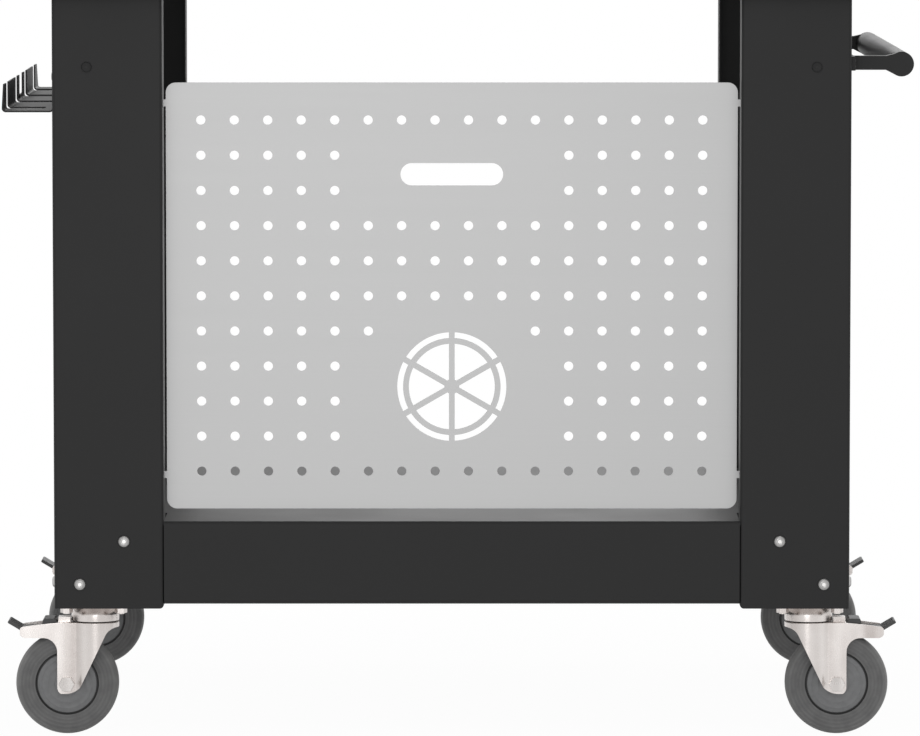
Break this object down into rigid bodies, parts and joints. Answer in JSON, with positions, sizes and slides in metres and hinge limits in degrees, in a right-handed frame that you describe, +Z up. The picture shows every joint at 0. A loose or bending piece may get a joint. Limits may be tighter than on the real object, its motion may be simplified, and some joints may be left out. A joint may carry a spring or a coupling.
{
  "type": "outdoor pizza oven table",
  "caption": "Rolling outdoor table of folded sheet metal with a shelf, a peg panel, a side tool rack, a push handle and braked swivel casters.",
  "frame": {"origin": "on the floor, under the middle of the leg frame", "axes": "+X to the handle side, -Y to the front with the peg panel, +Z up"},
  "size_m": [1.102, 0.8, 0.932],
  "materials": {
    "dark_paint": "fine satin powder coat",
    "worktop_steel": "brushed",
    "panel_steel": "fine brushed",
    "zinc": "bright zinc plate",
    "dark_screw": "black oxide",
    "hub_plastic": "moulded",
    "tyre_rubber": "matt",
    "pedal_paint": "satin"
  },
  "bodies": {
    "root": {"worktop": "worktop_steel", "peg_panel": "panel_steel", "shelf_tray": "dark_paint", "shelf_stiffener": "dark_paint", "tool_rack": "dark_paint", "handle_tube": "dark_paint", "handle_bracket_front": "dark_paint", "handle_bracket_rear": "dark_paint", "worktop_stiffener_left": "dark_paint", "worktop_stiffener_right": "dark_paint", "upper_rail_front": "dark_paint", "upper_rail_rear": "dark_paint", "upper_rail_left": "dark_paint", "upper_rail_right": "dark_paint", "leg_screws": "zinc", "upper_leg_screws": "dark_screw", "rack_screws": "dark_screw", "handle_screws": "dark_screw", "frame_bolts": "zinc", "caster_bolts": "zinc", "m6_nuts": "zinc", "m8_nuts": "zinc", "kingpins": "zinc", "head_balls": "zinc", "leg_front_left": "dark_paint", "caster_bracket_front_left": "dark_paint", "backing_angle_front_left": "dark_paint", "caster_plate_front_left": "zinc", "leg_front_right": "dark_paint", "caster_bracket_front_right": "dark_paint", "backing_angle_front_right": "dark_paint", "caster_plate_front_right": "zinc", "leg_rear_left": "dark_paint", "caster_bracket_rear_left": "dark_paint", "backing_angle_rear_left": "dark_paint", "caster_plate_rear_left": "zinc", "leg_rear_right": "dark_paint", "caster_bracket_rear_right": "dark_paint", "backing_angle_rear_right": "dark_paint", "caster_plate_rear_right": "zinc"},
    "swivel_front_left": {"fork_front_left": "zinc", "axle_front_left": "zinc"},
    "wheel_front_left": {"hub_front_left": "hub_plastic", "tyre_front_left": "tyre_rubber"},
    "pedal_front_left": {"brake_pedal_front_left": "pedal_paint"},
    "swivel_front_right": {"fork_front_right": "zinc", "axle_front_right": "zinc"},
    "wheel_front_right": {"hub_front_right": "hub_plastic", "tyre_front_right": "tyre_rubber"},
    "pedal_front_right": {"brake_pedal_front_right": "pedal_paint"},
    "swivel_rear_left": {"fork_rear_left": "zinc", "axle_rear_left": "zinc"},
    "wheel_rear_left": {"hub_rear_left": "hub_plastic", "tyre_rear_left": "tyre_rubber"},
    "pedal_rear_left": {"brake_pedal_rear_left": "pedal_paint"},
    "swivel_rear_right": {"fork_rear_right": "zinc", "axle_rear_right": "zinc"},
    "wheel_rear_right": {"hub_rear_right": "hub_plastic", "tyre_rear_right": "tyre_rubber"},
    "pedal_rear_right": {"brake_pedal_rear_right": "pedal_paint"}
  },
  "joints": [
    {"name": "swivel_turn_front_left", "type": "hinge", "parent": "root", "child": "swivel_front_left", "pos_m": [-0.434, -0.33, 0.1378], "axis": [0, 0, 1], "continuous": true},
    {"name": "wheel_turn_front_left", "type": "hinge", "parent": "swivel_front_left", "child": "wheel_front_left", "pos_m": [-0.468, -0.33, 0.0625], "axis": [0, 1, 0], "continuous": true},
    {"name": "pedal_press_front_left", "type": "hinge", "parent": "swivel_front_left", "child": "pedal_front_left", "pos_m": [-0.482, -0.33, 0.131], "axis": [0, -1, 0], "range_deg": [0, 14]},
    {"name": "swivel_turn_front_right", "type": "hinge", "parent": "root", "child": "swivel_front_right", "pos_m": [0.434, -0.33, 0.1378], "axis": [0, 0, 1], "continuous": true},
    {"name": "wheel_turn_front_right", "type": "hinge", "parent": "swivel_front_right", "child": "wheel_front_right", "pos_m": [0.468, -0.33, 0.0625], "axis": [0, 1, 0], "continuous": true},
    {"name": "pedal_press_front_right", "type": "hinge", "parent": "swivel_front_right", "child": "pedal_front_right", "pos_m": [0.482, -0.33, 0.131], "axis": [0, 1, 0], "range_deg": [0, 14]},
    {"name": "swivel_turn_rear_left", "type": "hinge", "parent": "root", "child": "swivel_rear_left", "pos_m": [-0.434, 0.33, 0.1378], "axis": [0, 0, 1], "continuous": true},
    {"name": "wheel_turn_rear_left", "type": "hinge", "parent": "swivel_rear_left", "child": "wheel_rear_left", "pos_m": [-0.468, 0.33, 0.0625], "axis": [0, 1, 0], "continuous": true},
    {"name": "pedal_press_rear_left", "type": "hinge", "parent": "swivel_rear_left", "child": "pedal_rear_left", "pos_m": [-0.482, 0.33, 0.131], "axis": [0, -1, 0], "range_deg": [0, 14]},
    {"name": "swivel_turn_rear_right", "type": "hinge", "parent": "root", "child": "swivel_rear_right", "pos_m": [0.434, 0.33, 0.1378], "axis": [0, 0, 1], "continuous": true},
    {"name": "wheel_turn_rear_right", "type": "hinge", "parent": "swivel_rear_right", "child": "wheel_rear_right", "pos_m": [0.468, 0.33, 0.0625], "axis": [0, 1, 0], "continuous": true},
    {"name": "pedal_press_rear_right", "type": "hinge", "parent": "swivel_rear_right", "child": "pedal_rear_right", "pos_m": [0.482, 0.33, 0.131], "axis": [0, 1, 0], "range_deg": [0, 14]}
  ]
}
